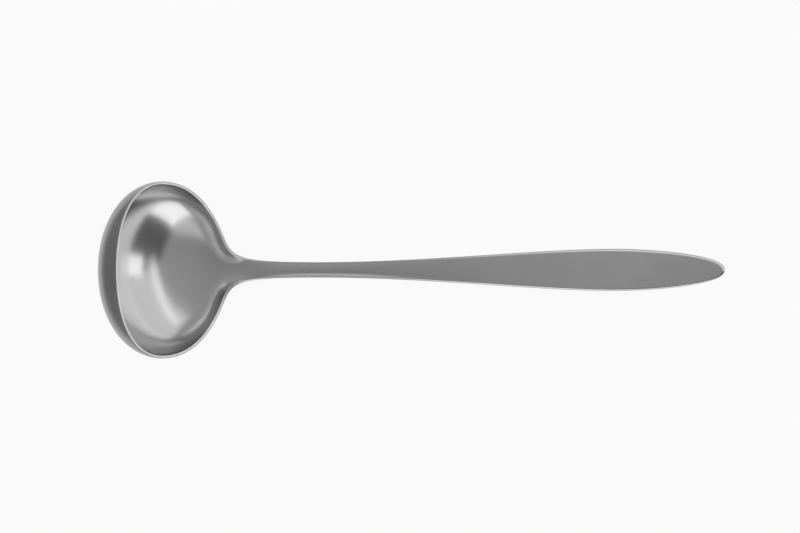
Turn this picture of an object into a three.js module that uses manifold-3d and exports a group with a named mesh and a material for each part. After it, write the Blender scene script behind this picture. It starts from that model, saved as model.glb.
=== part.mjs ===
// A stainless soup ladle lying on a table: a drawn bowl, a pressed handle and the weld that joins them.
// Millimetres and degrees, +Z up, +X towards the tip of the handle, +Y across the bowl.
// The origin is under the middle of the ladle, on the table.
import * as THREE from "three";
import { mergeVertices } from "three/addons/utils/BufferGeometryUtils.js";
import Module from "manifold-3d";

// Lengths along the ladle run on its rim line as the side view shows it, from the front lip to the tip.
const BOWL_FRONT = 28.8; // front lip to the widest line of the bowl
const BOWL_HALF_WIDTH = 38.9; // at the widest line, to the middle of the wall
const BOWL_DEPTH = 24.9; // below the rim, at the widest line
const BOWL_RUN_OUT = 54; // widest line to where the hollow ends in the neck
const BOWL_WALL = 1.2;
const BOWL_TILT = 50; // how steeply the rim slopes down to the handle
const FRONT_PULL_LIP = 23.9; // pull of the outline at the front lip
const FRONT_PULL_SIDE = 18.1; // pull of the outline ahead of the widest line
const FRONT_FULLNESS = 2.9; // power of the depth's curve behind the lip: 2 is an ellipse
const DEPTH_PULL_BOWL = 31.5; // pull of the depth's curve at the widest line
const DEPTH_PULL_NECK = 25; // pull of the depth's curve where the hollow ends
const STEEP_WALL = 15; // how far past the widest line the side walls stay upright
const GUTTER_ANGLE = 40; // half the arc of the section where the hollow ends

const SHOULDER = 33.9; // widest line to the point where the outline turns hollow
const SHOULDER_HALF_WIDTH = 18.9;
const SHOULDER_SLOPE = 62.9; // how steeply the outline runs in there
const SHOULDER_FULLNESS = 23.6; // pull of the outline behind the widest line
const SHOULDER_ROUNDNESS = 2.8; // pull of the outline before the shoulder point
const FILLET_PULL = 14.6; // pull of the outline after the shoulder point

const BEND_START = 19.3; // widest line to the start of the bend
const BEND_LENGTH = 42;
const NECK_RISE = 6.1; // slope of the handle where it leaves the bend
const HANDLE_FALL = 6; // slope of the handle before its end levels out
const LEVEL_END = 50; // length over which the end levels out

const NECK = 47.7; // shoulder point to the narrowest place
const NECK_HALF_WIDTH = 2.45;
const NECK_THICKNESS = 3;
const NECK_PULL_BOWL = 44.2;
const NECK_PULL_HANDLE = 49.8;

const LEAF = 135; // narrowest place to the widest place of the handle
const LEAF_HALF_WIDTH = 8.55;
const LEAF_THICKNESS = 2.2;
const LEAF_PULL_NECK = 36.6;
const LEAF_PULL_TIP = 22.5;
const TIP = 50.3; // widest place of the handle to its tip
const TIP_ROUNDNESS = 5.3;
const NECK_LENS = 0.35; // share of the neck's thickness that is gone at its edges
const LEAF_LENS = 0.06; // the same where the handle is widest

const RIM_ROUND = 0.35; // how far the rim's edge stands out
const HANDLE_ROUND = 1.1; // how far the handle's edge stands out

const WELD_PLACE = 76; // widest line to the middle of the weld
const WELD_FACE = 4; // width of the weld at the two skins
const WELD_ROOT = 1; // width of the weld at mid thickness

const REST_FLAT = 0.25; // depth of the worn flats that the ladle rests on

// Steps of the faceted surface
const STEPS_FRONT = 12;
const STEPS_SHOULDER = 9;
const STEPS_FILLET = 12;
const STEPS_LEAF = 12;
const STEPS_TIP = 12;
const STEPS_ACROSS = 22;
const STEPS_EDGE = 4;
const SPINE_STEP = 0.1;

const rad = THREE.MathUtils.degToRad;
const clamp01 = (v) => Math.min(Math.max(v, 0), 1);

// A soft step from 0 to 1 with no corner and no sudden change of curvature.
function ease(v) {
  const t = clamp01(v);
  return t * t * t * (10 - 15 * t + 6 * t * t);
}

// Places along the rim line
const widest = BOWL_FRONT;
const shoulder = widest + SHOULDER;
const neck = shoulder + NECK;
const leaf = neck + LEAF;
const tip = leaf + TIP;
const bendStart = widest + BEND_START;
const bendEnd = bendStart + BEND_LENGTH;
const levelStart = tip - LEVEL_END;
const weldPlace = widest + WELD_PLACE;

// The flat outline: how far along, and how far out from the middle line.
const at = (along, out) => new THREE.Vector2(along, out);
const slopeAlong = Math.cos(rad(SHOULDER_SLOPE));
const slopeOut = Math.sin(rad(SHOULDER_SLOPE));
const outline = [
  new THREE.CubicBezierCurve(
    at(0, 0),
    at(0, FRONT_PULL_LIP),
    at(widest - FRONT_PULL_SIDE, BOWL_HALF_WIDTH),
    at(widest, BOWL_HALF_WIDTH),
  ),
  new THREE.CubicBezierCurve(
    at(widest, BOWL_HALF_WIDTH),
    at(widest + SHOULDER_FULLNESS, BOWL_HALF_WIDTH),
    at(shoulder - SHOULDER_ROUNDNESS * slopeAlong, SHOULDER_HALF_WIDTH + SHOULDER_ROUNDNESS * slopeOut),
    at(shoulder, SHOULDER_HALF_WIDTH),
  ),
  new THREE.CubicBezierCurve(
    at(shoulder, SHOULDER_HALF_WIDTH),
    at(shoulder + FILLET_PULL * slopeAlong, SHOULDER_HALF_WIDTH - FILLET_PULL * slopeOut),
    at(neck - NECK_PULL_BOWL, NECK_HALF_WIDTH),
    at(neck, NECK_HALF_WIDTH),
  ),
  new THREE.CubicBezierCurve(
    at(neck, NECK_HALF_WIDTH),
    at(neck + NECK_PULL_HANDLE, NECK_HALF_WIDTH),
    at(leaf - LEAF_PULL_NECK, LEAF_HALF_WIDTH),
    at(leaf, LEAF_HALF_WIDTH),
  ),
  new THREE.CubicBezierCurve(
    at(leaf, LEAF_HALF_WIDTH),
    at(leaf + LEAF_PULL_TIP, LEAF_HALF_WIDTH),
    at(tip, TIP_ROUNDNESS),
    at(tip, 0),
  ),
];
const steps = [STEPS_FRONT, STEPS_SHOULDER, STEPS_FILLET, STEPS_LEAF, STEPS_TIP];

// A place on the outline: the whole part of t picks the curve, the rest runs along it.
function outlineAt(t) {
  const piece = Math.min(Math.floor(t), outline.length - 1);
  return outline[piece].getPoint(t - piece);
}

// Slope of the rim line in side view
function slopeAt(along) {
  const bend = (BOWL_TILT + NECK_RISE) * ease((along - bendStart) / BEND_LENGTH);
  const fall = (NECK_RISE + HANDLE_FALL) * ease((along - bendEnd) / (levelStart - bendEnd));
  const level = HANDLE_FALL * ease((along - levelStart) / LEVEL_END);
  return rad(bend - BOWL_TILT - fall + level);
}

// The rim line itself, added up in short steps from the front lip.
const spine = [new THREE.Vector2(0, 0)];
while ((spine.length - 1) * SPINE_STEP < tip) {
  const slope = slopeAt((spine.length - 0.5) * SPINE_STEP);
  const forward = new THREE.Vector2(Math.cos(slope), Math.sin(slope));
  spine.push(spine.at(-1).clone().addScaledVector(forward, SPINE_STEP));
}

function spineAt(along) {
  const place = Math.min(along / SPINE_STEP, spine.length - 1.001);
  const before = Math.floor(place);
  return spine[before].clone().lerp(spine[before + 1], place - before);
}

// Depth of the hollow below the rim line, drawn as a curve from the widest line to the neck.
const runOut = widest + BOWL_RUN_OUT;
const depthCurve = new THREE.CubicBezierCurve(
  at(widest, BOWL_DEPTH),
  at(widest + DEPTH_PULL_BOWL, BOWL_DEPTH),
  at(runOut - DEPTH_PULL_NECK, 0),
  at(runOut, 0),
);
const HALVINGS = 50;

function depthAt(along) {
  if (along >= runOut) return 0;
  if (along <= widest) return BOWL_DEPTH * Math.sqrt(1 - Math.pow(1 - along / BOWL_FRONT, FRONT_FULLNESS));
  let before = 0;
  let after = 1;
  for (let i = 0; i < HALVINGS; i += 1) {
    const half = (before + after) / 2;
    if (depthCurve.getPoint(half).x < along) before = half;
    else after = half;
  }
  return depthCurve.getPoint(before).y;
}

// Half the arc of the section: a half ellipse in the bowl, a shallow arc at the neck.
function arcAt(along) {
  const opened = ease((along - widest - STEEP_WALL) / (BOWL_RUN_OUT - STEEP_WALL));
  return rad(90 + (GUTTER_ANGLE - 90) * opened);
}

const neckShare = (along) => ease((along - widest) / (neck - widest));
const leafShare = (along) => ease((along - neck) / LEAF);

function halfThickness(along, across) {
  const bar = BOWL_WALL + (NECK_THICKNESS - BOWL_WALL) * neckShare(along);
  const full = bar + (LEAF_THICKNESS - NECK_THICKNESS) * leafShare(along);
  const lens = NECK_LENS * neckShare(along) + (LEAF_LENS - NECK_LENS) * leafShare(along);
  return (full / 2) * (1 - lens * across * across);
}

const edgeRound = (along) => RIM_ROUND + (HANDLE_ROUND - RIM_ROUND) * neckShare(along);

// Middle of the sheet at a place t on the outline; across runs from -1 to 1.
function middle(t, across) {
  const { x: along, y: out } = outlineAt(t);
  const place = spineAt(along);
  const slope = slopeAt(along);
  const arc = arcAt(along);
  const sag = (depthAt(along) * (Math.cos(across * arc) - Math.cos(arc))) / (1 - Math.cos(arc));
  return new THREE.Vector3(
    place.x + Math.sin(slope) * sag,
    (out * Math.sin(across * arc)) / Math.sin(arc),
    place.y - Math.cos(slope) * sag,
  );
}

// Direction along the outline and direction square to the sheet, from nearby points.
const NEARBY = 1e-3;
const lastPlace = outline.length;
function directions(t, across) {
  const inside = Math.min(Math.max(t, 2 * NEARBY), lastPlace - 2 * NEARBY);
  const side = Math.min(Math.max(across, NEARBY - 1), 1 - NEARBY);
  const forward = middle(inside + NEARBY, side).sub(middle(inside - NEARBY, side)).normalize();
  const sideways = middle(inside, side + NEARBY).sub(middle(inside, side - NEARBY)).normalize();
  const square = new THREE.Vector3().crossVectors(forward, sideways).normalize();
  return { forward, square };
}

// One closed ring of the ladle's skin: upper face, right edge, lower face, left edge.
function ring(t) {
  const pole = t === 0 || t === lastPlace;
  const along = outlineAt(t).x;
  const upper = [];
  const lower = [];
  for (let i = 0; i <= STEPS_ACROSS; i += 1) {
    const across = (2 * i) / STEPS_ACROSS - 1;
    const { square } = directions(t, pole ? 0 : across);
    const half = pole ? halfThickness(along, 1) : halfThickness(along, across);
    const place = middle(t, across);
    upper.push(place.clone().addScaledVector(square, half));
    lower.push(place.clone().addScaledVector(square, -half));
  }
  const rim = middle(t, 1);
  const { forward, square } = directions(t, 1);
  if (pole) square.copy(directions(t, 0).square);
  const outward = new THREE.Vector3().crossVectors(square, forward).normalize();
  const edge = [];
  for (let i = 1; i < STEPS_EDGE; i += 1) {
    const turn = Math.PI * (0.5 - i / STEPS_EDGE);
    const point = rim.clone().addScaledVector(square, halfThickness(along, 1) * Math.sin(turn));
    point.addScaledVector(outward, edgeRound(along) * Math.cos(turn));
    if (pole) point.y = 0;
    edge.push(point);
  }
  const mirrored = edge.map((point) => new THREE.Vector3(point.x, -point.y, point.z));
  return [...upper, ...edge, ...lower.reverse(), ...mirrored.reverse()];
}

// All rings from the front lip to the tip, closer together towards the tip.
const places = [0];
steps.forEach((count, piece) => {
  for (let i = 1; i <= count; i += 1) {
    const part = i / count;
    places.push(piece + (piece === outline.length - 1 ? Math.sin((part * Math.PI) / 2) : part));
  }
});
places[places.length - 1] = lastPlace;
const rings = places.map(ring);

// The ladle turns about Y until its bowl and its handle both reach the table.
const alongOfRing = places.map((t) => outlineAt(t).x);
function turnedHeight(point, turn) {
  return point.z * Math.cos(turn) - point.x * Math.sin(turn);
}
function lowest(turn, chosen) {
  let low = Infinity;
  rings.forEach((points, i) => {
    if (!chosen(alongOfRing[i])) return;
    for (const point of points) low = Math.min(low, turnedHeight(point, turn));
  });
  return low;
}
const inBowl = (along) => along < neck;
const inHandle = (along) => along >= neck;
let least = rad(-30);
let most = rad(30);
for (let i = 0; i < HALVINGS; i += 1) {
  const turn = (least + most) / 2;
  if (lowest(turn, inHandle) > lowest(turn, inBowl)) least = turn;
  else most = turn;
}
const restTurn = (least + most) / 2;
const restLow = lowest(restTurn, () => true);
const settle = new THREE.Matrix4().makeRotationY(restTurn);
const box = new THREE.Box3();
for (const points of rings) {
  for (const point of points) box.expandByPoint(point.applyMatrix4(settle));
}
const shift = new THREE.Vector3(-(box.min.x + box.max.x) / 2, 0, -restLow - REST_FLAT);
for (const points of rings) {
  for (const point of points) point.add(shift);
}

// The skin between neighbouring rings
function skin() {
  const positions = [];
  const count = rings[0].length;
  for (let i = 0; i + 1 < rings.length; i += 1) {
    for (let j = 0; j < count; j += 1) {
      const next = (j + 1) % count;
      const corners = [rings[i][j], rings[i + 1][j], rings[i + 1][next], rings[i][next]];
      for (const k of [0, 1, 2, 0, 2, 3]) positions.push(...corners[k].toArray());
    }
  }
  return new THREE.BufferGeometry().setAttribute("position", new THREE.Float32BufferAttribute(positions, 3));
}

const wasm = await Module();
wasm.setup();

// A closed geometry as a solid: shared points are joined and faces of no size are left out.
const JOIN = 1e-4;
function solidOf(geometry) {
  const bare = geometry.index ? geometry.toNonIndexed() : geometry.clone();
  bare.deleteAttribute("normal");
  bare.deleteAttribute("uv");
  const merged = mergeVertices(bare, JOIN);
  const corners = merged.index.array;
  const kept = [];
  for (let i = 0; i < corners.length; i += 3) {
    const [a, b, c] = corners.slice(i, i + 3);
    if (a !== b && b !== c && c !== a) kept.push(a, b, c);
  }
  const vertProperties = new Float32Array(merged.attributes.position.array);
  return new wasm.Manifold(new wasm.Mesh({ numProp: 3, vertProperties, triVerts: new Uint32Array(kept) }));
}

function geometryOf(solid) {
  const mesh = solid.getMesh();
  const geometry = new THREE.BufferGeometry();
  geometry.setAttribute("position", new THREE.BufferAttribute(mesh.vertProperties, 3));
  geometry.setIndex(new THREE.BufferAttribute(mesh.triVerts, 1));
  geometry.computeVertexNormals();
  return geometry;
}

// The worn flats: everything below the table's plane is taken off.
const length = box.max.x - box.min.x;
const height = box.max.z - box.min.z;
const ground = new THREE.BoxGeometry(2 * length, 2 * length, length);
ground.translate(0, 0, -length / 2);
const ladle = solidOf(skin()).subtract(solidOf(ground));

// The weld fills a groove that opens to both skins, square across the neck.
const weldMiddle = spineAt(weldPlace);
const weldCentre = new THREE.Vector3(weldMiddle.x, 0, weldMiddle.y).applyMatrix4(settle).add(shift);
const weldReach = halfThickness(weldPlace, 0) + depthAt(weldPlace);
const flank = (WELD_FACE - WELD_ROOT) / 2 / halfThickness(weldPlace, 0);
const faceHalf = WELD_ROOT / 2 + flank * 2 * weldReach;
const groove = new THREE.Shape([
  new THREE.Vector2(-faceHalf, 2 * weldReach),
  new THREE.Vector2(-WELD_ROOT / 2, 0),
  new THREE.Vector2(-faceHalf, -2 * weldReach),
  new THREE.Vector2(faceHalf, -2 * weldReach),
  new THREE.Vector2(WELD_ROOT / 2, 0),
  new THREE.Vector2(faceHalf, 2 * weldReach),
]);
const weldBlock = new THREE.ExtrudeGeometry(groove, { depth: height, bevelEnabled: false });
weldBlock.translate(0, 0, -height / 2);
weldBlock.rotateX(Math.PI / 2);
weldBlock.rotateY(restTurn - slopeAt(weldPlace));
weldBlock.translate(weldCentre.x, weldCentre.y, weldCentre.z);
const weldSolid = solidOf(weldBlock);

const weld = ladle.intersect(weldSolid);
const sides = ladle.subtract(weldSolid).decompose();
sides.sort((a, b) => a.boundingBox().min[0] - b.boundingBox().min[0]);
const [bowl, handle] = sides;

const steel = (color, roughness) => new THREE.MeshStandardMaterial({ color, roughness, metalness: 1 });
const pieces = [
  ["bowl", bowl, steel(0xb9b9ba, 0.22)],
  ["neck_weld", weld, steel(0xb4b4b5, 0.3)],
  ["handle", handle, steel(0xb6b6b7, 0.28)],
];

const group = new THREE.Group();
for (const [name, solid, material] of pieces) {
  const mesh = new THREE.Mesh(geometryOf(solid), material);
  mesh.name = name;
  group.add(mesh);
}

export default group;
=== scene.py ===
# %% [markdown]
# # A stainless steel soup ladle
# The ladle lies on a white table and is seen from straight above: the bowl on the left, the handle
# running off to the right. It is three pieces of steel: a drawn bowl, a pressed handle and the weld
# between them. The first step loads the measured model as a fixed frame, so that all that is made here
# lands in its place.

# %% Load the frame
import math
import bpy
import numpy as np
from mathutils import Euler, Matrix, Vector


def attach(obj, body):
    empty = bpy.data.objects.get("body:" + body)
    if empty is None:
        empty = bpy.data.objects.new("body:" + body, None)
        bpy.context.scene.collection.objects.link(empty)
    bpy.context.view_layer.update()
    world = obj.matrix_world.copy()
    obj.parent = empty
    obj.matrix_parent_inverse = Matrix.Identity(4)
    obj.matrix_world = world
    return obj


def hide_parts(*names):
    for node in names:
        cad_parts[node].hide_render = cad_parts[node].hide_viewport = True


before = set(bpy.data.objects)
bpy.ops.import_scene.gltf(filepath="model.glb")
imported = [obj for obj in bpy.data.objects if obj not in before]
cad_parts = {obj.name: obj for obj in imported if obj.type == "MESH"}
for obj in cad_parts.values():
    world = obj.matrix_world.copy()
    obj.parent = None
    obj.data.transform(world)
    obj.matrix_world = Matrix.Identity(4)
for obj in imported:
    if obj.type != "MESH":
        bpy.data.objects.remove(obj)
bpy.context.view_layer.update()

# %% [markdown]
# ## The sizes
# A ladle is easiest to describe as a ribbon of steel. The side view gives a line that follows the rim
# down the bowl, round the bend and out along the handle. Every other size hangs on that line: how wide
# the ribbon is, how deep it sags into a bowl and how thick it is. The ladle could be shaped by hand
# instead, but written sizes can be measured and changed one at a time. They are the same sizes as in the
# measured model.

# %% Sizes of the bowl, in millimetres and degrees
BOWL_FRONT, BOWL_HALF_WIDTH, BOWL_DEPTH = 28.8, 38.9, 24.9
BOWL_WALL, BOWL_TILT, RIM_ROUND = 1.2, 50.0, 0.35
FRONT_PULL_LIP, FRONT_PULL_SIDE, FRONT_FULLNESS = 23.9, 18.1, 2.9
BOWL_RUN_OUT, DEPTH_PULL_BOWL, DEPTH_PULL_NECK = 54.0, 31.5, 25.0
STEEP_WALL, GUTTER_ANGLE = 15.0, 40.0
SHOULDER, SHOULDER_HALF_WIDTH, SHOULDER_SLOPE = 33.9, 18.9, 62.9
SHOULDER_FULLNESS, SHOULDER_ROUNDNESS, FILLET_PULL = 23.6, 2.8, 14.6

widest = BOWL_FRONT
shoulder = widest + SHOULDER
run_out = widest + BOWL_RUN_OUT
print("the hollow runs out, mm from the front lip:", round(run_out, 1))

# %% Sizes of the bend, the handle and the weld
BEND_START, BEND_LENGTH = 19.3, 42.0
NECK_RISE, HANDLE_FALL, LEVEL_END = 6.1, 6.0, 50.0
NECK, NECK_HALF_WIDTH, NECK_THICKNESS, NECK_LENS = 47.7, 2.45, 3.0, 0.35
NECK_PULL_BOWL, NECK_PULL_HANDLE = 44.2, 49.8
LEAF, LEAF_HALF_WIDTH, LEAF_THICKNESS, LEAF_LENS = 135.0, 8.55, 2.2, 0.06
LEAF_PULL_NECK, LEAF_PULL_TIP = 36.6, 22.5
TIP, TIP_ROUNDNESS, HANDLE_ROUND = 50.3, 5.3, 1.1
WELD_PLACE, WELD_FACE, WELD_ROOT = 76.0, 4.0, 1.0
REST_FLAT = 0.25

neck = shoulder + NECK
leaf = neck + LEAF
tip = leaf + TIP
bend_start = widest + BEND_START
bend_end = bend_start + BEND_LENGTH
level_start = tip - LEVEL_END
weld_place = widest + WELD_PLACE
print("length along the ladle, mm:", round(tip, 1))

# %% [markdown]
# ## The outline
# Seen flat, the edge of the ribbon is five smooth curves: round the front of the bowl, to the shoulder,
# into the neck, out to the widest place of the handle and round the tip. It could be a long row of
# points, but a curve that two corners pull stays smooth with few numbers. One number runs along all five:
# its whole part picks the curve, and the rest is how far along it we are.

# %% The outline curves
slope_along = math.cos(math.radians(SHOULDER_SLOPE))
slope_out = math.sin(math.radians(SHOULDER_SLOPE))
edge_curves = [
    [(0.0, 0.0), (0.0, FRONT_PULL_LIP),
     (widest - FRONT_PULL_SIDE, BOWL_HALF_WIDTH), (widest, BOWL_HALF_WIDTH)],
    [(widest, BOWL_HALF_WIDTH), (widest + SHOULDER_FULLNESS, BOWL_HALF_WIDTH),
     (shoulder - SHOULDER_ROUNDNESS*slope_along, SHOULDER_HALF_WIDTH + SHOULDER_ROUNDNESS*slope_out),
     (shoulder, SHOULDER_HALF_WIDTH)],
    [(shoulder, SHOULDER_HALF_WIDTH),
     (shoulder + FILLET_PULL*slope_along, SHOULDER_HALF_WIDTH - FILLET_PULL*slope_out),
     (neck - NECK_PULL_BOWL, NECK_HALF_WIDTH), (neck, NECK_HALF_WIDTH)],
    [(neck, NECK_HALF_WIDTH), (neck + NECK_PULL_HANDLE, NECK_HALF_WIDTH),
     (leaf - LEAF_PULL_NECK, LEAF_HALF_WIDTH), (leaf, LEAF_HALF_WIDTH)],
    [(leaf, LEAF_HALF_WIDTH), (leaf + LEAF_PULL_TIP, LEAF_HALF_WIDTH), (tip, TIP_ROUNDNESS), (tip, 0.0)],
]
LAST = len(edge_curves)
print("curves on each side:", LAST)

# %% Places on the outline
OUTLINE_STEPS = 5000


def on_curve(corners, part):
    """A smooth curve between its first and last corner, pulled towards the two between."""
    rest = 1.0 - part
    weights = (rest**3, 3*rest*rest*part, 3*rest*part*part, part**3)
    return [sum(w*c[axis] for w, c in zip(weights, corners)) for axis in (0, 1)]


def outline_at(t):
    """How far along the ladle, and how far out from its middle line, at place t on the outline."""
    piece = np.clip(np.floor(t), 0, LAST - 1)
    along, out = np.zeros(np.shape(t)), np.zeros(np.shape(t))
    for k, corners in enumerate(edge_curves):
        on_piece = on_curve(corners, t - piece)
        along = np.where(piece == k, on_piece[0], along)
        out = np.where(piece == k, on_piece[1], out)
    return along, out


fine_places = np.linspace(0.0, LAST, OUTLINE_STEPS + 1)
fine_along = outline_at(fine_places)[0]


def place_at(along):
    """The place on the outline that lies this far along the ladle."""
    return np.interp(along, fine_along, fine_places)


print("half width at the weld, mm:", round(float(outline_at(place_at(weld_place))[1]), 2))

# %% [markdown]
# ## The side view
# From the side the rim runs down the tilted bowl, bends sharply and leaves in a long, low arch that comes
# down to the table. It could be drawn as one more curve. Here its slope is given instead, eased from one
# stretch to the next, and adding up short steps gives the line, so that the steel keeps its length
# whatever the bend.

# %% The rim line
STEP, BEYOND_TIP = 0.05, 2.0


def ease(value):
    """A smooth step from 0 to 1, with no kink at either end."""
    v = np.clip(value, 0.0, 1.0)
    return v*v*v*(10.0 - 15.0*v + 6.0*v*v)


def slope_at(along):
    """The slope of the rim line, in radians."""
    bend = (BOWL_TILT + NECK_RISE)*ease((along - bend_start)/BEND_LENGTH)
    fall = (NECK_RISE + HANDLE_FALL)*ease((along - bend_end)/(level_start - bend_end))
    level = HANDLE_FALL*ease((along - level_start)/LEVEL_END)
    return np.radians(bend - BOWL_TILT - fall + level)


line_along = np.arange(0.0, tip + BEYOND_TIP, STEP)
step_slope = slope_at(line_along[:-1] + STEP/2)
line_x = np.concatenate([[0.0], np.cumsum(np.cos(step_slope)*STEP)])
line_z = np.concatenate([[0.0], np.cumsum(np.sin(step_slope)*STEP)])
print("the rim drops from the front lip, mm:", round(float(-line_z.min()), 1))

# %% [markdown]
# ## The sheet
# A press draws the bowl from flat sheet, which sags across the ribbon in an arc: a half ellipse in the
# bowl, a shallow gutter towards the neck, nothing along the handle. The neck is a lens in section, thick
# in the middle and thin at its edges, and the handle flattens out towards its end. Sculpting could give
# such a form too, but a formula stays smooth at any fineness, and polished steel would show the least
# bump.

# %% Sag and thickness
DEPTH_STEPS = 20000
HALF_ROUND = 90.0
depth_along, depth_down = on_curve([(widest, BOWL_DEPTH), (widest + DEPTH_PULL_BOWL, BOWL_DEPTH),
                                    (run_out - DEPTH_PULL_NECK, 0.0), (run_out, 0.0)],
                                   np.linspace(0.0, 1.0, DEPTH_STEPS + 1))


def depth_at(along):
    """How deep the sheet sags below its edges."""
    ahead = np.clip(1.0 - along/BOWL_FRONT, 0.0, 1.0)
    front = np.sqrt(1.0 - ahead**FRONT_FULLNESS)
    return front*np.interp(along, depth_along, depth_down)


def arc_at(along):
    """Half the angle of the arc that the sheet sags in."""
    to_gutter = ease((along - widest - STEEP_WALL)/(BOWL_RUN_OUT - STEEP_WALL))
    return np.radians(HALF_ROUND + (GUTTER_ANGLE - HALF_ROUND)*to_gutter)


def neck_share(along):
    """0 on the bowl, 1 from the neck on."""
    return ease((along - widest)/(neck - widest))


def half_thickness(along, across):
    """Half the thickness of the steel; across runs from -1 to 1."""
    on_leaf = ease((along - neck)/LEAF)
    full = BOWL_WALL + (NECK_THICKNESS - BOWL_WALL)*neck_share(along)
    full = full + (LEAF_THICKNESS - NECK_THICKNESS)*on_leaf
    lens = NECK_LENS*neck_share(along) + (LEAF_LENS - NECK_LENS)*on_leaf
    return full/2*(1.0 - lens*across*across)


def middle(t, across):
    """Points in the middle of the sheet; across runs from -1 to 1."""
    along, out = outline_at(t)
    arc, slope = arc_at(along), slope_at(along)
    sag = depth_at(along)*(np.cos(across*arc) - np.cos(arc))/(1.0 - np.cos(arc))
    x = np.interp(along, line_along, line_x) + np.sin(slope)*sag
    z = np.interp(along, line_along, line_z) - np.cos(slope)*sag
    return np.stack(np.broadcast_arrays(x, out*np.sin(across*arc)/np.sin(arc), z), -1)


print("depth of the bowl, mm:", round(float(depth_at(widest)), 1))

# %% [markdown]
# ## The skin and its exact normals
# The two faces lie half a thickness to either side of the middle, and an edge joins them. On the bowl the
# edge is a flat land between two tight corners, as sheared and deburred; on the handle it is nearly
# round. A Solidify and a Bevel modifier could do this, but steel shows every small fault in its
# reflections. So each normal is worked out from points close by on the exact surface, which also hides
# the joints between the pieces.

# %% Faces, edge and normals
NEAR = 1e-3
RIM_SQUARENESS, HANDLE_SQUARENESS = 0.45, 0.9


def unit(v):
    """The same directions with a length of 1."""
    return v/np.maximum(np.linalg.norm(v, axis=-1, keepdims=True), 1e-12)


def square_to_sheet(t, across):
    """Direction along the outline, and direction square to the sheet."""
    t = np.clip(t, 2*NEAR, LAST - 2*NEAR)
    across = np.clip(across, NEAR - 1.0, 1.0 - NEAR)
    forward = middle(t + NEAR, across) - middle(t - NEAR, across)
    sideways = middle(t, across + NEAR) - middle(t, across - NEAR)
    return unit(forward), unit(np.cross(forward, sideways))


def face(t, across, side):
    """A face of the sheet: side 1 is the upper one, side -1 the lower one."""
    lift = side*half_thickness(outline_at(t)[0], across)
    return middle(t, across) + square_to_sheet(t, across)[1]*np.asarray(lift)[..., None]


def edge(t, turn):
    """The edge on the +Y side: turn runs from 90 degrees at the upper face to -90 at the lower one."""
    along = outline_at(t)[0]
    forward, square = square_to_sheet(t, np.ones_like(t))
    outward = unit(np.cross(square, forward))
    on_handle = neck_share(along)
    power = RIM_SQUARENESS + (HANDLE_SQUARENESS - RIM_SQUARENESS)*on_handle
    stands_out = (RIM_ROUND + (HANDLE_ROUND - RIM_ROUND)*on_handle)*np.abs(np.cos(turn))**power
    lift = half_thickness(along, 1.0)*np.sign(turn)*np.abs(np.sin(turn))**power
    return middle(t, np.ones_like(t)) + square*lift[..., None] + outward*stands_out[..., None]


def normal_of(surface, t, other, sign):
    """The normal of a surface of two numbers, from points close by."""
    t = np.clip(t, 3*NEAR, LAST - 3*NEAR)
    forward = surface(t + NEAR, other) - surface(t - NEAR, other)
    sideways = surface(t, other + NEAR) - surface(t, other - NEAR)
    return sign*unit(np.cross(forward, sideways))


print("edge stands out, mm:", RIM_ROUND, "on the rim,", HANDLE_ROUND, "on the handle")

# %% [markdown]
# ## Polish, painted highlight and painted shade
# The inner corner of the rim and a band inside it at the sides are polished smoother and get a painted
# highlight in their colour, the land of the rim gets painted shade, and the outside of the bowl and the
# sides of the handle are rougher than the rest and get painted shade. The materials could look for edges
# by their curvature, but that depends on the mesh. Three masks, worked out for each point and kept on the
# mesh, are exact.

# %% Finish masks, with painted highlight and painted shade
# The three masks: rubbed smoother with a painted highlight, painted shade on the rim's land, and the rougher
# outside with painted shade.
MASKS = ("rubbed_edge_and_painted_highlight", "land_painted_shade", "outer_skin_and_painted_shade")
CORNER_TURN, CORNER_SPREAD, LAND_SPREAD = math.radians(50.0), math.radians(24.0), math.radians(24.0)
SIDE_START, SIDE_FADE = math.radians(80.0), math.radians(60.0)
HANDLE_EDGE = 0.1
# The band inside the rim at the sides is polished smoother and gets a painted highlight.
RIM_POLISH_AND_PAINTED_HIGHLIGHT, POLISH_START = 0.9, 0.7
POLISH_LIP, POLISH_LIP_FADE = 4.0, 5.0
POLISH_BACK, POLISH_BACK_FADE = 8.0, 16.0


def edge_finish_and_painted_light(along, turn):
    """How far the edge is rubbed smoother with a painted highlight, has painted shade on its land, and is
    part of the rougher outside with painted shade.
    """
    on_handle = neck_share(along)
    corner = np.exp(-((turn - CORNER_TURN)/CORNER_SPREAD)**2)
    # Painted highlight on the rubbed corner, painted shade on the land and on the outside.
    finish_and_painted_light = np.where(turn > 0.0, corner, 0.0)*(1.0 - on_handle) + HANDLE_EDGE*on_handle
    land_shade = np.exp(-(turn/LAND_SPREAD)**2)*(1.0 - on_handle)
    below_rim = np.clip(-np.sin(turn), 0.0, 1.0)
    handle_side = ease((SIDE_START - np.abs(turn))/SIDE_FADE)
    return finish_and_painted_light, land_shade, below_rim*(1.0 - on_handle) + handle_side*on_handle


def rim_polish_and_painted_highlight(along, across):
    """How far the inside next to the rim is polished smoother with a painted highlight: only at the sides of
    the bowl.
    """
    near_rim = ease((np.abs(across) - POLISH_START)/(1.0 - POLISH_START))
    behind_lip = ease((along - POLISH_LIP)/POLISH_LIP_FADE)
    to_shoulder = ease((along - widest - POLISH_BACK)/POLISH_BACK_FADE)
    return RIM_POLISH_AND_PAINTED_HIGHLIGHT*near_rim*behind_lip*(1.0 - to_shoulder)


print("masks:", MASKS)

# %% [markdown]
# ## One ring of the ladle
# A ring goes round the ribbon once: over the upper face, round one edge, back under the lower face and up
# the other edge. Besides its points it carries their normals, the masks, and flat coordinates in metres
# that later give the grain of the steel its direction. One function makes a whole row of rings, because
# numpy works out thousands of points as fast as a loop does a few.

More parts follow.
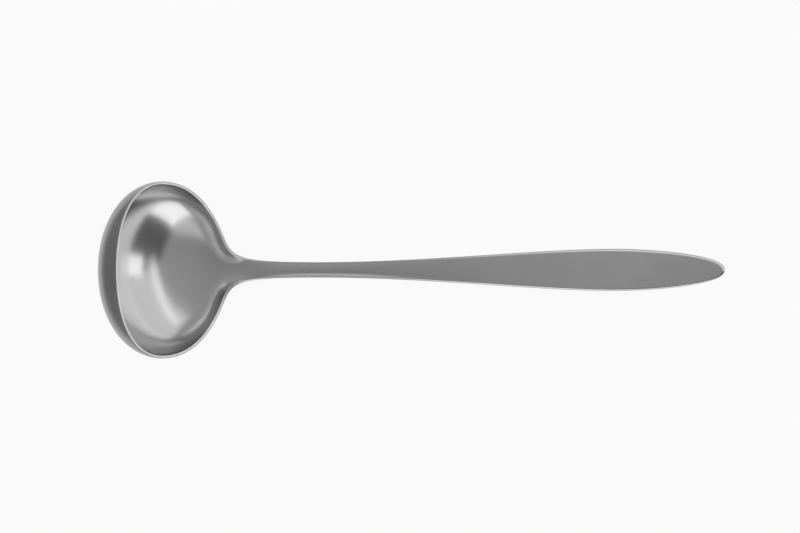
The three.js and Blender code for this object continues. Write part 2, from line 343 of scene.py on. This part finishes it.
# %% The layout of a ring
ACROSS_STEPS, EDGE_STEPS = 72, 12
CLOSER_TO_EDGES = 0.4
spread = np.linspace(-1.0, 1.0, ACROSS_STEPS + 1)
across_places = (1.0 - CLOSER_TO_EDGES)*spread + CLOSER_TO_EDGES*np.sin(spread*np.pi/2)
edge_turns = np.pi*(0.5 - np.arange(1, EDGE_STEPS)/EDGE_STEPS)
LOOP = 2*len(across_places) + 2*len(edge_turns)
UPPER = slice(0, len(across_places))
RIGHT = slice(UPPER.stop, UPPER.stop + len(edge_turns))
LOWER = slice(RIGHT.stop, RIGHT.stop + len(across_places))
LEFT = slice(LOWER.stop, LOOP)
print("points round each ring:", LOOP)

# %% Rows of rings
METRES_PER_MM = 0.001


def mirror(v):
    """The same points or directions on the other side of the middle line."""
    return v*np.array([1.0, -1.0, 1.0])


def ring_points(t, across, turn):
    """Points round each ring, at place t on the outline."""
    return np.concatenate([face(t[:, UPPER], across, 1.0), edge(t[:, RIGHT], turn),
                           face(t[:, LOWER], across[:, ::-1], -1.0),
                           mirror(edge(t[:, LEFT], turn[:, ::-1]))], axis=1)


def ring_normals(t, across, turn):
    """Normals round each ring. Where a face meets an edge, the two share the normal between theirs."""
    inner = np.clip(across, 2*NEAR - 1.0, 1.0 - 2*NEAR)
    upper = normal_of(lambda a, b: face(a, b, 1.0), t[:, UPPER], inner, 1.0)
    lower = normal_of(lambda a, b: face(a, b, -1.0), t[:, LOWER], inner[:, ::-1], -1.0)
    right = normal_of(edge, t[:, RIGHT], turn, -1.0)
    left = mirror(normal_of(edge, t[:, LEFT], turn[:, ::-1], -1.0))
    normals = np.concatenate([upper, right, lower, left], axis=1)
    for part in (UPPER, LOWER):
        for on_face, on_edge in ((part.start, part.start - 1), (part.stop - 1, part.stop)):
            normals[:, on_face] = unit(normals[:, on_face] + normals[:, on_edge])
    return normals


def ring_masks(along, across, turn):
    """The three masks of finish, painted highlight and painted shade round each ring."""
    masks = np.zeros((len(MASKS), *along.shape))
    # Painted highlight near the rim at the sides, and painted shade with more roughness on the outside of
    # the bowl.
    masks[0, :, UPPER] = rim_polish_and_painted_highlight(along[:, UPPER], across)
    masks[2, :, LOWER] = 1.0 - neck_share(along[:, LOWER])
    masks[:, :, RIGHT] = edge_finish_and_painted_light(along[:, RIGHT], turn)
    masks[:, :, LEFT] = edge_finish_and_painted_light(along[:, LEFT], turn[:, ::-1])
    return np.moveaxis(masks, 0, -1)


def ring_rows(places):
    """Points, normals, masks and flat coordinates of a row of rings. Each place is one number, or one number
    for each point round the ring."""
    t = np.asarray(places, float)
    if t.ndim == 1:
        t = np.repeat(t[:, None], LOOP, axis=1)
    across = np.broadcast_to(across_places, (len(t), len(across_places)))
    turn = np.broadcast_to(edge_turns, (len(t), len(edge_turns)))
    along, out = outline_at(t)
    right_edge = np.ones(turn.shape)
    girth = np.concatenate([across, right_edge, across[:, ::-1], -right_edge], axis=1)
    flat = np.stack([along, out*girth], -1)*METRES_PER_MM
    return ring_points(t, across, turn), ring_normals(t, across, turn), ring_masks(along, across, turn), flat


sample = ring_rows([place_at(weld_place)])[0]
print("girth of the neck at the weld, mm:",
      round(float(np.linalg.norm(np.diff(sample[0], axis=0), axis=-1).sum()), 1))

# %% [markdown]
# ## The rings of the three pieces
# At the front lip and at the tip the ribbon narrows to nothing, so there each face is drawn together into
# one point. Bowl and handle stop at the weld, where each is ground to a double bevel: the weld is wide at
# the faces and narrow at mid thickness. A cut with a Boolean modifier would leave ragged faces there.
# Instead the last ring of each piece follows the bevel, and the weld starts from that same ring.

# %% Rings of the bowl, the weld and the handle
RINGS_PER_CURVE = (48, 36, 48, 40, 48)
CLEAR_OF_WELD = 0.6
IN_MIDDLE_PLANE = np.array([1.0, 0.0, 1.0])


def close_ends(rows, places):
    """Draws each face together into one point at the front lip and at the tip."""
    points, normals = rows[:2]
    for i in np.flatnonzero((places <= NEAR) | (places >= LAST - NEAR)):
        t = places[i:i + 1]
        square = square_to_sheet(t, np.zeros(1))[1][0]
        half = half_thickness(outline_at(t)[0], 1.0)
        spot = middle(t, np.zeros(1))[0]
        for part, side in ((UPPER, 1.0), (LOWER, -1.0)):
            points[i, part] = spot + side*square*half
            normals[i, part] = unit(normals[i, (part.start + part.stop)//2]*IN_MIDDLE_PLANE)
        points[i, RIGHT] = points[i, RIGHT]*IN_MIDDLE_PLANE
        normals[i, RIGHT] = unit(normals[i, RIGHT]*IN_MIDDLE_PLANE)
        points[i, LEFT] = points[i, RIGHT][::-1]
        normals[i, LEFT] = normals[i, RIGHT][::-1]
    return rows


curve_steps = [np.arange(1, count + 1)/count for count in RINGS_PER_CURVE]
curve_steps[-1] = np.sin(curve_steps[-1]*np.pi/2)
all_places = np.concatenate([[0.0], *(k + steps for k, steps in enumerate(curve_steps))])
gap = WELD_FACE/2 + CLEAR_OF_WELD
bowl_places = all_places[all_places < place_at(weld_place - gap)]
handle_places = all_places[all_places > place_at(weld_place + gap)]

# How far each point of a ring lies from mid thickness: 1 on the faces, 0 in the middle of an edge.
lift_share = np.ones(LOOP)
lift_share[RIGHT] = np.abs(np.sin(edge_turns))**HANDLE_SQUARENESS
lift_share[LEFT] = lift_share[RIGHT][::-1]
weld_reach = WELD_ROOT/2 + (WELD_FACE - WELD_ROOT)/2*lift_share
weld_places = place_at(weld_place + np.outer([-1.0, 0.0, 1.0], weld_reach))

bowl_rows = close_ends(ring_rows(bowl_places), bowl_places)
weld_rows = ring_rows(weld_places)
handle_rows = close_ends(ring_rows(handle_places), handle_places)
print("rings:", len(bowl_places), "on the bowl,", len(handle_places), "on the handle")

# %% [markdown]
# ## Laying the ladle down
# The curves so far stand at the angle they were drawn at. A ladle that is put down turns until its bowl
# and the end of its handle both touch the table. A physics simulation would find that angle too, with a
# small error. Halving the turn again and again finds it exactly. The ladle is then moved so that it is
# centred over the origin, sunk by the depth of the two worn flats that it rests on.

# %% Turn and move to rest
MOST_TURN, HALVINGS = math.radians(30.0), 60


def turned(points, turn):
    """Points or directions turned about the Y axis."""
    c, s = math.cos(turn), math.sin(turn)
    return np.stack([points[..., 0]*c + points[..., 2]*s, points[..., 1],
                     points[..., 2]*c - points[..., 0]*s], -1)


least, most = -MOST_TURN, MOST_TURN
for _ in range(HALVINGS):
    rest_turn = (least + most)/2
    if turned(handle_rows[0], rest_turn)[..., 2].min() > turned(bowl_rows[0], rest_turn)[..., 2].min():
        least = rest_turn
    else:
        most = rest_turn
laid = np.concatenate([turned(rows[0], rest_turn).reshape(-1, 3) for rows in (bowl_rows, handle_rows)])
rest_shift = np.array([-(laid[:, 0].min() + laid[:, 0].max())/2, 0.0, -laid[:, 2].min() - REST_FLAT])


def at_rest(points):
    """Points of the ladle as it lies on the table, in metres."""
    laid_down = turned(points, rest_turn) + rest_shift
    laid_down[..., 2] = np.maximum(laid_down[..., 2], 0.0)
    return laid_down*METRES_PER_MM


print("turn to rest, degrees:", round(math.degrees(rest_turn), 3), "shift, mm:", rest_shift.round(2))

# %% [markdown]
# ## From rings to pieces
# Neighbouring rings are joined by four-sided faces. At the front lip and the tip, points that coincide
# become one. At the weld each piece is closed by two flat flanks that meet at mid thickness. Bridging
# edge loops in Blender would give the same faces, but not the numbering that the normals and the masks
# need. The flanks keep their own flat normals, and the skin gets the exact ones.

# %% Faces between the rings


def point_numbers(count, open_start, open_end):
    """The number of every point. At a closed end, points that coincide share one number."""
    numbers = np.arange(count*LOOP).reshape(count, LOOP)
    for row, is_open in ((0, open_start), (count - 1, open_end)):
        if not is_open:
            numbers[row, UPPER] = numbers[row, UPPER.start]
            numbers[row, LOWER] = numbers[row, LOWER.start]
            numbers[row, LEFT] = numbers[row, RIGHT][::-1]
    return numbers


def skin_faces(numbers):
    """Faces between neighbouring rings, with three sides where two corners coincide."""
    faces = []
    for here, ahead in zip(numbers[:-1], numbers[1:]):
        for j in range(LOOP):
            beside = (j + 1) % LOOP
            corners = [here[j], ahead[j], ahead[beside], here[beside]]
            kept = [corner for m, corner in enumerate(corners) if corner != corners[m - 1]]
            if len(set(kept)) > 2:
                faces.append(kept)
    return faces


def flank_faces(ring):
    """The upper and the lower flank of a bevelled end."""
    right_middle = RIGHT.start + EDGE_STEPS//2 - 1
    left_middle = LEFT.start + EDGE_STEPS//2 - 1
    upper = [*ring[left_middle:], *ring[:right_middle + 1]]
    return [upper, [*ring[right_middle:left_middle + 1]]]


print("faces between two rings:", len(skin_faces(point_numbers(2, True, True))))

# %% Make a closed steel piece
GRAIN_MAP = "grain"


def finish_piece(mesh, vertex_normals, skin_count, masks, flat):
    """Exact normals on the skin, flat ones on the flanks, and the masks and flat coordinates that the
    finish of the steel reads."""
    mesh.polygons.foreach_set("use_smooth", np.ones(len(mesh.polygons), bool))
    corner_vertex = np.zeros(len(mesh.loops), int)
    mesh.loops.foreach_get("vertex_index", corner_vertex)
    corner_normals = vertex_normals[corner_vertex]
    for polygon in list(mesh.polygons)[skin_count:]:
        corner_normals[polygon.loop_start:polygon.loop_start + polygon.loop_total] = polygon.normal
    for column, label in enumerate(MASKS):
        attribute = mesh.attributes.new(label, "FLOAT", "POINT")
        attribute.data.foreach_set("value", np.ascontiguousarray(masks[:, column], dtype=np.float32))
    grain = mesh.uv_layers.new(name=GRAIN_MAP)
    grain.data.foreach_set("uv", np.ascontiguousarray(flat[corner_vertex], dtype=np.float32).ravel())
    mesh.normals_split_custom_set(corner_normals.tolist())


def steel_piece(name, rows, open_start, open_end):
    """A closed piece from its rings. An open end is closed by flanks, any other end by its own faces."""
    points, normals, masks, flat = rows
    numbers = point_numbers(len(points), open_start, open_end)
    faces = skin_faces(numbers)
    skin_count = len(faces)
    if open_start:
        faces += flank_faces(numbers[0])
    if open_end:
        faces += [flank[::-1] for flank in flank_faces(numbers[-1])]
    used = np.unique(np.concatenate(faces))
    mesh = bpy.data.meshes.new(name)
    mesh.from_pydata(at_rest(points).reshape(-1, 3)[used].tolist(), [],
                     [np.searchsorted(used, face_corners).tolist() for face_corners in faces])
    mesh.update()
    vertex_normals = unit(turned(normals, rest_turn)).reshape(-1, 3)[used]
    finish_piece(mesh, vertex_normals, skin_count, masks.reshape(-1, len(MASKS))[used],
                 flat.reshape(-1, 2)[used])
    piece = bpy.data.objects.new(name, mesh)
    bpy.context.collection.objects.link(piece)
    return piece


def joined(*parts):
    """Rows of rings one after another."""
    return [np.concatenate(kind) for kind in zip(*parts)]


bowl = steel_piece("steel_bowl", joined(bowl_rows, [kind[:1] for kind in weld_rows]), False, True)
weld = steel_piece("steel_weld", weld_rows, True, True)
handle = steel_piece("steel_handle", joined([kind[-1:] for kind in weld_rows], handle_rows), True, False)
for piece, node, slot in ((bowl, "bowl", "bowl_steel"), (weld, "neck_weld", "weld_steel"),
                          (handle, "handle", "handle_steel")):
    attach(piece, "root")
    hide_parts(node)
    print(piece.name, len(piece.data.vertices), "points", len(piece.data.polygons), "faces")

# %% [markdown]
# ## The camera
# The photograph looks straight down. Its outline is the same on both sides of the handle, so the camera
# hangs over the middle of the picture. An orthographic camera would be simplest, but a real one shows what
# is nearer a little larger. So this is a long lens a little over a metre up, with one pixel 0.46 mm wide
# on the table.

# %% Camera
CAMERA_HEIGHT, PIXEL, PICTURE_WIDTH = 1.1, 0.00046, 800
CAMERA_X, CAMERA_Y = -0.00753, 0.00154
camera_data = bpy.data.cameras.new("camera_above")
camera_data.sensor_width = 36.0
camera_data.lens = camera_data.sensor_width*CAMERA_HEIGHT/(PICTURE_WIDTH*PIXEL)
camera_data.dof.use_dof = False
camera = bpy.data.objects.new("camera_above", camera_data)
camera.location = (CAMERA_X, CAMERA_Y, CAMERA_HEIGHT)
bpy.context.collection.objects.link(camera)
bpy.context.scene.camera = camera
print("lens, mm:", round(camera_data.lens, 1))

# %% [markdown]
# ## Satin steel: hairlines
# The ladle is satin polished: a belt has left fine hairlines along its length. A picture of brushed metal
# would repeat and blur, so the lines are a noise drawn out along the ladle. They are a node group with
# named sockets, built once for all three pieces. The group reads flat coordinates in metres, so that a
# hairline is as wide on the bowl as on the handle.

# %% Node helpers


def shader_group(name, inputs, outputs):
    """An empty node group with named number inputs and outputs."""
    group = bpy.data.node_groups.new(name, "ShaderNodeTree")
    for label, value in inputs.items():
        socket = group.interface.new_socket(name=label, in_out="INPUT", socket_type="NodeSocketFloat")
        socket.default_value = value
    for label in outputs:
        group.interface.new_socket(name=label, in_out="OUTPUT", socket_type="NodeSocketFloat")
    return group, group.nodes.new("NodeGroupInput"), group.nodes.new("NodeGroupOutput")


def add_node(tree, kind, links=None, **settings):
    """A node with its settings made, and its inputs linked to sockets or set to values."""
    node = tree.nodes.new(kind)
    for label, value in settings.items():
        setattr(node, label, value)
    for label, value in (links or {}).items():
        if isinstance(value, bpy.types.NodeSocket):
            tree.links.new(value, node.inputs[label])
        else:
            node.inputs[label].default_value = value
    return node


def maths(tree, operation, *values, clamp=False):
    """A calculation with sockets or numbers."""
    node = add_node(tree, "ShaderNodeMath", dict(enumerate(values)), operation=operation, use_clamp=clamp)
    return node.outputs["Value"]


def noise(tree, place, **inputs):
    """A cloudy pattern of values around a half."""
    return add_node(tree, "ShaderNodeTexNoise", {"Vector": place, **inputs}).outputs["Fac"]


def stretched_place(tree, along, across):
    """The flat coordinates, scaled so that a pattern is drawn out along the ladle."""
    place = add_node(tree, "ShaderNodeUVMap", uv_map=GRAIN_MAP)
    scales = add_node(tree, "ShaderNodeCombineXYZ", {"X": along, "Y": across, "Z": 1.0})
    return add_node(tree, "ShaderNodeVectorMath", {0: place.outputs["UV"], 1: scales.outputs["Vector"]},
                    operation="MULTIPLY").outputs["Vector"]


print("patterns are laid out on the map:", GRAIN_MAP)

# %% The group of hairlines
hairlines, given, result = shader_group("satin_hairlines", {"Lines per metre": 9000.0, "Length": 0.03},
                                        ["Lines"])
lengths_per_metre = maths(hairlines, "DIVIDE", 1.0, given.outputs["Length"])
line_place = stretched_place(hairlines, lengths_per_metre, given.outputs["Lines per metre"])
lines = noise(hairlines, line_place, Scale=1.0, Detail=3.0, Roughness=0.6)
hairlines.links.new(lines, result.inputs["Lines"])
print("group:", hairlines.name, "with", len(hairlines.nodes), "nodes")

# %% [markdown]
# ## Clouds and scratches
# A polishing wheel leaves faint clouds, and use leaves a few short scratches. Clouds are a soft noise in
# space. Scratches are the highest crests of another noise that is drawn out along the ladle. Painting
# them by hand would also work, but the share of crests is one number that is easy to change.

# %% The groups of clouds and scratches
SCRATCH_LINES, CREST_START, CREST_TOP = 2600.0, 0.78, 0.80


def object_place(tree):
    """The place of a point in metres, as the object lies."""
    return add_node(tree, "ShaderNodeTexCoord").outputs["Object"]


clouds, given, result = shader_group("polishing_clouds", {"Clouds per metre": 45.0}, ["Clouds"])
cloud_noise = noise(clouds, object_place(clouds), Scale=given.outputs["Clouds per metre"], Detail=4.0,
                    Roughness=0.55)
clouds.links.new(cloud_noise, result.inputs["Clouds"])

scratches, given, result = shader_group("fine_scratches", {"Scratches per metre": 160.0, "Share": 0.04},
                                        ["Scratches"])
scratch_place = stretched_place(scratches, given.outputs["Scratches per metre"], SCRATCH_LINES)
crests = add_node(scratches, "ShaderNodeMapRange",
                  {"Value": noise(scratches, scratch_place, Scale=0.35, Detail=1.0, Distortion=0.6),
                   "From Min": maths(scratches, "SUBTRACT", CREST_START, given.outputs["Share"]),
                   "From Max": CREST_TOP})
scratches.links.new(crests.outputs["Result"], result.inputs["Scratches"])
print("groups:", clouds.name, scratches.name)

# %% [markdown]
# ## Rubbed edges, painted highlight and painted shade
# The masks on the mesh say where the steel is rubbed smoother with a painted highlight, where the rim's land
# has painted shade, and where it is the rougher outside with painted shade. Hands and cloths rub unevenly,
# so the rubbed one is broken up by small patches. The group only hands the masks on: what they do is left to
# the material.

# %% The group of rubbed edges, painted highlight and painted shade
PATCHES_PER_METRE = 140.0
finish_and_painted_light, given, result = shader_group("rubbed_and_painted_light_masks", {"Patchiness": 0.3}, ["Rubbed", "Painted land shade", "Outside with painted shade"])
# Masks of the painted highlight on rubbed places, of the painted shade on the land, and of the outside's
# painted shade.
rubbed_highlight_mask, land_shade_mask, outer_shade_mask = (
    add_node(finish_and_painted_light, "ShaderNodeAttribute", attribute_name=label).outputs["Fac"] for label in MASKS)
patch_noise = noise(finish_and_painted_light, object_place(finish_and_painted_light), Scale=PATCHES_PER_METRE, Detail=3.0)
patches = maths(finish_and_painted_light, "MULTIPLY", patch_noise, given.outputs["Patchiness"])
unpatched = maths(finish_and_painted_light, "SUBTRACT", 1.0, patches)
finish_and_painted_light.links.new(maths(finish_and_painted_light, "MULTIPLY", rubbed_highlight_mask, unpatched, clamp=True), result.inputs["Rubbed"])
finish_and_painted_light.links.new(land_shade_mask, result.inputs["Painted land shade"])
finish_and_painted_light.links.new(outer_shade_mask, result.inputs["Outside with painted shade"])
print("group:", finish_and_painted_light.name, "with", len(finish_and_painted_light.nodes), "nodes")

# %% [markdown]
# ## The three steels
# Steel is a metal, so its colour is the colour of what it reflects, dimmed a little. What makes it satin
# is its roughness, which spreads a reflection out. A single grey with one roughness would look like
# plastic foil. So the effects above change colour and roughness by a few hundredths and press the
# hairlines into the surface by less than a thousandth of a millimetre. The rubbed edges are smoother and get
# a painted highlight, the land of the rim gets painted shade, and the outside is rougher with painted shade.

# %% Colour and roughness of the steel
# A near white painted highlight for the rubbed corners, and two darker greys of painted shade for the rim's
# land and the outside.
SATIN, PAINTED_HIGHLIGHT = (0.58, 0.58, 0.582, 1.0), (0.97, 0.97, 0.972, 1.0)
PAINTED_LAND_SHADE, OUTER_PAINTED_SHADE = (0.44, 0.44, 0.442, 1.0), (0.28, 0.28, 0.282, 1.0)
SATIN_ROUGHNESS, RUBBED_ROUGHNESS, OUTER_ROUGHNESS = 0.21, 0.15, 0.28
CLOUD_TONE, LINE_ROUGHNESS, SCRATCH_ROUGHNESS, LINE_DEPTH = 0.02, 0.015, 0.06, 5e-8
NOISE_LOW, NOISE_HIGH = 0.3, 0.7


def spread_noise(tree, value, low, high):
    """The values that a noise mostly has, spread from low to high."""
    links = {"Value": value, "From Min": NOISE_LOW, "From Max": NOISE_HIGH, "To Min": low, "To Max": high}
    return add_node(tree, "ShaderNodeMapRange", links).outputs["Result"]


def mixed(tree, share, first, second, blend="MIX"):
    """Two colours mixed by a share."""
    links = {"Fac": share, "Color1": first, "Color2": second}
    return add_node(tree, "ShaderNodeMixRGB", links, blend_type=blend).outputs["Color"]


def between(tree, share, first, second):
    """A value between two others, by a share."""
    links = {"Value": share, "To Min": first, "To Max": second}
    return add_node(tree, "ShaderNodeMapRange", links).outputs["Result"]


def steel_colour(tree, edges, cloud):
    """Satin grey with painted shade on the outside and on the land, a painted highlight on the rubbed
    corners, and faint clouds.
    """
    # Painted shade on the outside and on the land, then a painted highlight on the corners.
    skin = mixed(tree, edges["Outside with painted shade"], SATIN, OUTER_PAINTED_SHADE)
    land_shade = mixed(tree, edges["Painted land shade"], skin, PAINTED_LAND_SHADE)
    corners = mixed(tree, edges["Rubbed"], land_shade, PAINTED_HIGHLIGHT)
    return mixed(tree, 1.0, corners, spread_noise(tree, cloud, -CLOUD_TONE, CLOUD_TONE), "ADD")


def steel_roughness(tree, edges, line, scratch):
    """Satin roughness with hairlines and scratches, rougher outside and smoother on the corners."""
    lined = spread_noise(tree, line, SATIN_ROUGHNESS - LINE_ROUGHNESS, SATIN_ROUGHNESS + LINE_ROUGHNESS)
    scratched = maths(tree, "MULTIPLY_ADD", scratch, SCRATCH_ROUGHNESS, lined)
    outside = between(tree, edges["Outside with painted shade"], scratched, OUTER_ROUGHNESS)
    return between(tree, edges["Rubbed"], outside, RUBBED_ROUGHNESS)


print("roughness:", SATIN_ROUGHNESS, "satin,", RUBBED_ROUGHNESS, "rubbed,", OUTER_ROUGHNESS, "outside")

# %% Steel materials


def satin_steel(name):
    """Satin polished stainless steel."""
    material = bpy.data.materials.new(name)
    material.use_nodes = True
    tree = material.node_tree
    shader = tree.nodes["Principled BSDF"]
    shader.inputs["Metallic"].default_value = 1.0
    line = add_node(tree, "ShaderNodeGroup", node_tree=hairlines).outputs["Lines"]
    cloud = add_node(tree, "ShaderNodeGroup", node_tree=clouds).outputs["Clouds"]
    scratch = add_node(tree, "ShaderNodeGroup", node_tree=scratches).outputs["Scratches"]
    edges = add_node(tree, "ShaderNodeGroup", node_tree=finish_and_painted_light).outputs
    tree.links.new(steel_colour(tree, edges, cloud), shader.inputs["Base Color"])
    tree.links.new(steel_roughness(tree, edges, line, scratch), shader.inputs["Roughness"])
    pressed = add_node(tree, "ShaderNodeBump", {"Height": line, "Distance": LINE_DEPTH, "Strength": 1.0})
    tree.links.new(pressed.outputs["Normal"], shader.inputs["Normal"])
    return material


for piece, name in ((bowl, "bowl_satin_steel"), (weld, "weld_satin_steel"), (handle, "handle_satin_steel")):
    piece.data.materials.append(satin_steel(name))
    print(piece.name, "is in", piece.data.materials[0].name)

# %% [markdown]
# ## The white table
# The photograph's background is plain white. White paint alone would need lamps so strong that they would
# bleach the steel. So the table, a large flat sheet, mostly glows white where it is seen directly or in
# the steel. The rest of it is white paint with faint brush marks, which keeps the ladle's soft shadow. It
# lies a hair below the ladle, because two faces in one place would flicker.

# %% Table
TABLE_WIDTH, TABLE_GAP, GLOW_SHARE = 6.0, 0.0001, 0.9
PAINT_LOW, PAINT_HIGH = 0.94, 0.96


def glowing_white():
    """White paint that mostly glows for the camera and for reflections."""
    white = bpy.data.materials.new("white_table")
    white.use_nodes = True
    tree = white.node_tree
    paint = tree.nodes["Principled BSDF"]
    paint.inputs["Roughness"].default_value = 0.8
    brush_marks = noise(tree, object_place(tree), Scale=25.0, Detail=3.0)
    tree.links.new(spread_noise(tree, brush_marks, PAINT_LOW, PAINT_HIGH), paint.inputs["Base Color"])
    path = add_node(tree, "ShaderNodeLightPath").outputs
    seen = maths(tree, "ADD", path["Is Camera Ray"], path["Is Glossy Ray"])
    seen = maths(tree, "ADD", seen, path["Is Transmission Ray"], clamp=True)
    glow = add_node(tree, "ShaderNodeEmission", {"Color": (1.0, 1.0, 1.0, 1.0), "Strength": 1.0})
    surface = add_node(tree, "ShaderNodeMixShader", {0: maths(tree, "MULTIPLY", seen, GLOW_SHARE),
                                                     1: paint.outputs["BSDF"], 2: glow.outputs["Emission"]})
    tree.links.new(surface.outputs["Shader"], tree.nodes["Material Output"].inputs["Surface"])
    return white


bpy.ops.mesh.primitive_plane_add(size=TABLE_WIDTH, location=(0.0, 0.0, -TABLE_GAP))
table = bpy.context.object
table.name = "white_table"
table.data.materials.append(glowing_white())
print("table:", table.dimensions.x, "m wide")

# %% [markdown]
# ## The room
# Polished metal shows its surroundings, so the light is a room more than a lamp. A photograph of a studio
# could stand round the scene, but a plain grey is enough: darker at the horizon than overhead, and a
# little lighter towards the far side and towards the end of the handle.

# %% Room
HORIZON, OVERHEAD, SIDE_TILT, END_TILT = 0.28, 0.36, 0.08, 0.12
CEILING_START, DARKEST = 0.75, 0.05
world = bpy.data.worlds.new("studio_room")
bpy.context.scene.world = world
world.use_nodes = True
tree = world.node_tree
direction = add_node(tree, "ShaderNodeSeparateXYZ",
                     {"Vector": add_node(tree, "ShaderNodeTexCoord").outputs["Generated"]}).outputs
height = add_node(tree, "ShaderNodeMapRange",
                  {"Value": direction["Z"], "From Min": 0.0, "From Max": CEILING_START,
                   "To Min": HORIZON, "To Max": OVERHEAD}, interpolation_type="SMOOTHSTEP").outputs["Result"]
to_side = maths(tree, "MULTIPLY_ADD", direction["Y"], SIDE_TILT, height)
to_end = maths(tree, "MULTIPLY_ADD", direction["X"], END_TILT, to_side)
tree.links.new(maths(tree, "MAXIMUM", to_end, DARKEST), tree.nodes["Background"].inputs["Color"])
bpy.context.scene.view_settings.view_transform = "Standard"
print("room:", HORIZON, "at the horizon,", OVERHEAD, "overhead")

# %% [markdown]
# ## Soft boxes
# The bright patches in the bowl are the mirror images of soft boxes, the wide lamps of a studio. Each
# wall of the bowl mirrors what stands across from it, so a patch tells where its lamp was. A small lamp
# would make a hard glint instead. The brightness of each is what a mirror would show of it: 1 is white.

# %% Soft boxes
BOWL_CENTRE = Vector((-0.105, 0.0, 0.03))


def softbox(name, direction, distance, size, brightness, roll=0.0):
    """A rectangular lamp that faces the bowl. Its direction as seen from there is in degrees: round from +X,
    and up."""
    lamp = bpy.data.lights.new(name, "AREA")
    lamp.shape = "RECTANGLE"
    lamp.size, lamp.size_y = size
    lamp.energy = brightness*math.pi*size[0]*size[1]
    box = bpy.data.objects.new(name, lamp)
    a, e = math.radians(direction[0]), math.radians(direction[1])
    towards = Vector((math.cos(e)*math.cos(a), math.cos(e)*math.sin(a), math.sin(e)))
    facing = Euler((math.radians(90.0) - e, 0.0, a + math.radians(90.0))).to_matrix()
    rolled = facing @ Euler((0.0, 0.0, math.radians(roll))).to_matrix()
    box.matrix_world = Matrix.Translation(towards*distance + BOWL_CENTRE) @ rolled.to_4x4()
    bpy.context.collection.objects.link(box)


# The bright patch on the far wall of the bowl, with its soft lower and right sides.
softbox("softbox_near_side", (-70.5, 16.0), distance=0.80, size=(0.54, 0.71), brightness=1.25, roll=22.0)
softbox("softbox_near_top", (-82.0, 47.0), distance=0.60, size=(0.34, 0.20), brightness=0.35)
softbox("softbox_near_back", (-106.0, 38.0), distance=0.60, size=(0.42, 0.34), brightness=0.12)
# The wide light patch on the near wall, and the crescent along its inner side.
softbox("softbox_far_side", (42.0, 26.0), distance=0.65, size=(0.98, 0.70), brightness=0.44)
softbox("softbox_far_top", (32.0, 43.0), distance=0.65, size=(0.95, 0.15), brightness=0.4)
# The small bright spot behind the front lip.
softbox("softbox_handle_end", (-3.0, 8.0), distance=0.60, size=(0.15, 0.22), brightness=1.25)
# A little light on the outside of the bowl, and on the dark card that its hollow mirrors.
softbox("softbox_back_left", (140.0, 33.0), distance=0.9, size=(0.5, 0.4), brightness=1.9)
softbox("softbox_back_right", (-140.0, 33.0), distance=0.9, size=(0.5, 0.4), brightness=1.9)

# %% [markdown]
# ## Grey cards
# A white table would make the outside of the bowl and one side of its hollow as pale as the table. The
# photograph shows dark steel there. A photographer gets that with grey cards that stand beside the
# object, just out of the picture. Darker steel would be simpler, but it would darken the bright patches
# too. The cards are uncoated board, so their grey is a little mottled, and only the steel sees them.

# %% Grey cards
MOTTLE = 0.1


def card_board(name, grey):
    """Uncoated board: a mottled grey."""
    board = bpy.data.materials.new(name)
    board.use_nodes = True
    tree = board.node_tree
    shader = tree.nodes["Principled BSDF"]
    mottle = noise(tree, object_place(tree), Scale=90.0, Detail=3.0)
    greys = spread_noise(tree, mottle, (1.0 - MOTTLE)*grey, (1.0 + MOTTLE)*grey)
    tree.links.new(greys, shader.inputs["Base Color"])
    shader.inputs["Roughness"].default_value = 0.9
    return board


def grey_card(name, board, start, end, top_start, height):
    """A card that stands on the table between two places, cut slanted where its top starts elsewhere."""
    mesh = bpy.data.meshes.new(name)
    mesh.from_pydata([(*start, 0.0), (*end, 0.0), (*end, height), (*top_start, height)], [], [(0, 1, 2, 3)])
    mesh.materials.append(board)
    card = bpy.data.objects.new(name, mesh)
    card.visible_camera = card.visible_diffuse = card.visible_shadow = False
    bpy.context.collection.objects.link(card)


grey_card("card_left", card_board("mid_grey_board", 0.6), start=(-0.2, -0.2), end=(-0.2, 0.2),
          top_start=(-0.2, -0.2), height=0.25)
grey_card("card_near_side", card_board("dark_grey_board", 0.2), start=(0.443, -0.511), end=(0.636, -0.117),
          top_start=(0.338, -0.6), height=0.89)
